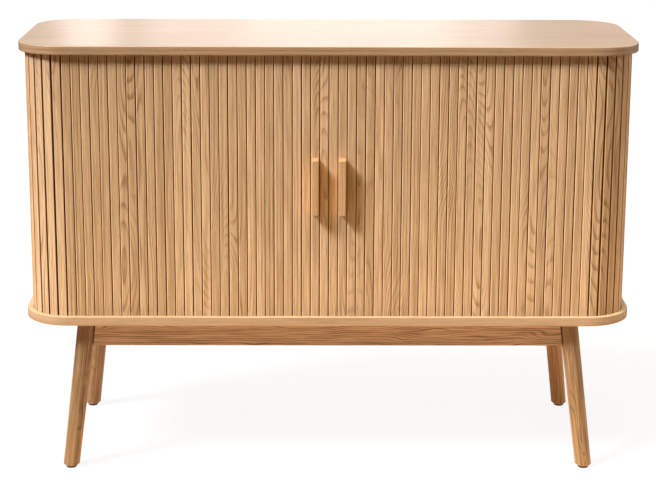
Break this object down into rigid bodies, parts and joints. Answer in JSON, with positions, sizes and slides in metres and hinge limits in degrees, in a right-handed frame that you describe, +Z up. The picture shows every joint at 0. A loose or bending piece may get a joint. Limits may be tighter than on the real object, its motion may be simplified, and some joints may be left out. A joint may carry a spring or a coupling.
{
  "type": "credenza",
  "caption": "Low oak credenza with round corners, slatted tambour doors that slide round the ends, bar pulls and splayed round legs joined by an apron frame.",
  "frame": {"origin": "middle of the box around the part, on the floor", "axes": "+X to the right along the front, -Y out of the front, +Z up"},
  "size_m": [1.2, 0.413, 0.85],
  "materials": {
    "oak_slab": "satin lacquered oak veneer, grain along the length",
    "oak_slat": "satin lacquered oak, grain upright",
    "oak_solid": "satin lacquered solid oak",
    "oak_lining": "matt oak veneer",
    "beech": "plain turned wood",
    "canvas": "dark woven cotton canvas",
    "steel": "zinc plated",
    "glide_plastic": "black plastic"
  },
  "bodies": {
    "cabinet": {"back_screws": "steel", "base_panel": "oak_slab", "bracket_screws": "steel", "carcass_dowels": "beech", "center_divider": "oak_lining", "frame_brackets": "steel", "front_left_glide": "glide_plastic", "front_left_leg": "oak_solid", "front_rail": "oak_solid", "front_right_glide": "glide_plastic", "front_right_leg": "oak_solid", "inner_back_panel": "oak_lining", "left_end_canvas": "canvas", "left_end_rail": "oak_solid", "left_end_slats": "oak_slat", "left_inner_side": "oak_lining", "left_shelf": "oak_lining", "outer_back_panel": "oak_lining", "rail_dowels": "beech", "rear_left_glide": "glide_plastic", "rear_left_leg": "oak_solid", "rear_rail": "oak_solid", "rear_right_glide": "glide_plastic", "rear_right_leg": "oak_solid", "rear_track_stops": "beech", "right_end_canvas": "canvas", "right_end_rail": "oak_solid", "right_end_slats": "oak_slat", "right_inner_side": "oak_lining", "right_shelf": "oak_lining", "shelf_pins": "steel", "top_panel": "oak_slab"},
    "left_door": {"left_meeting_slat": "oak_slat", "left_pull_slat": "oak_slat", "left_lead_slats": "oak_slat", "left_lead_canvas": "canvas", "left_pull": "oak_solid", "left_pull_screws": "steel", "left_front_slats": "oak_slat", "left_front_canvas": "canvas"},
    "right_door": {"right_meeting_slat": "oak_slat", "right_pull_slat": "oak_slat", "right_lead_slats": "oak_slat", "right_lead_canvas": "canvas", "right_pull": "oak_solid", "right_pull_screws": "steel", "right_front_slats": "oak_slat", "right_front_canvas": "canvas"}
  },
  "joints": [
    {"name": "left_door_slide", "type": "slide", "parent": "cabinet", "child": "left_door", "axis": [-1, 0, 0], "range_m": [0, 0.4375], "deforming": ["left_front_slats", "left_front_canvas"]},
    {"name": "right_door_slide", "type": "slide", "parent": "cabinet", "child": "right_door", "axis": [1, 0, 0], "range_m": [0, 0.4375], "deforming": ["right_front_slats", "right_front_canvas"]}
  ]
}
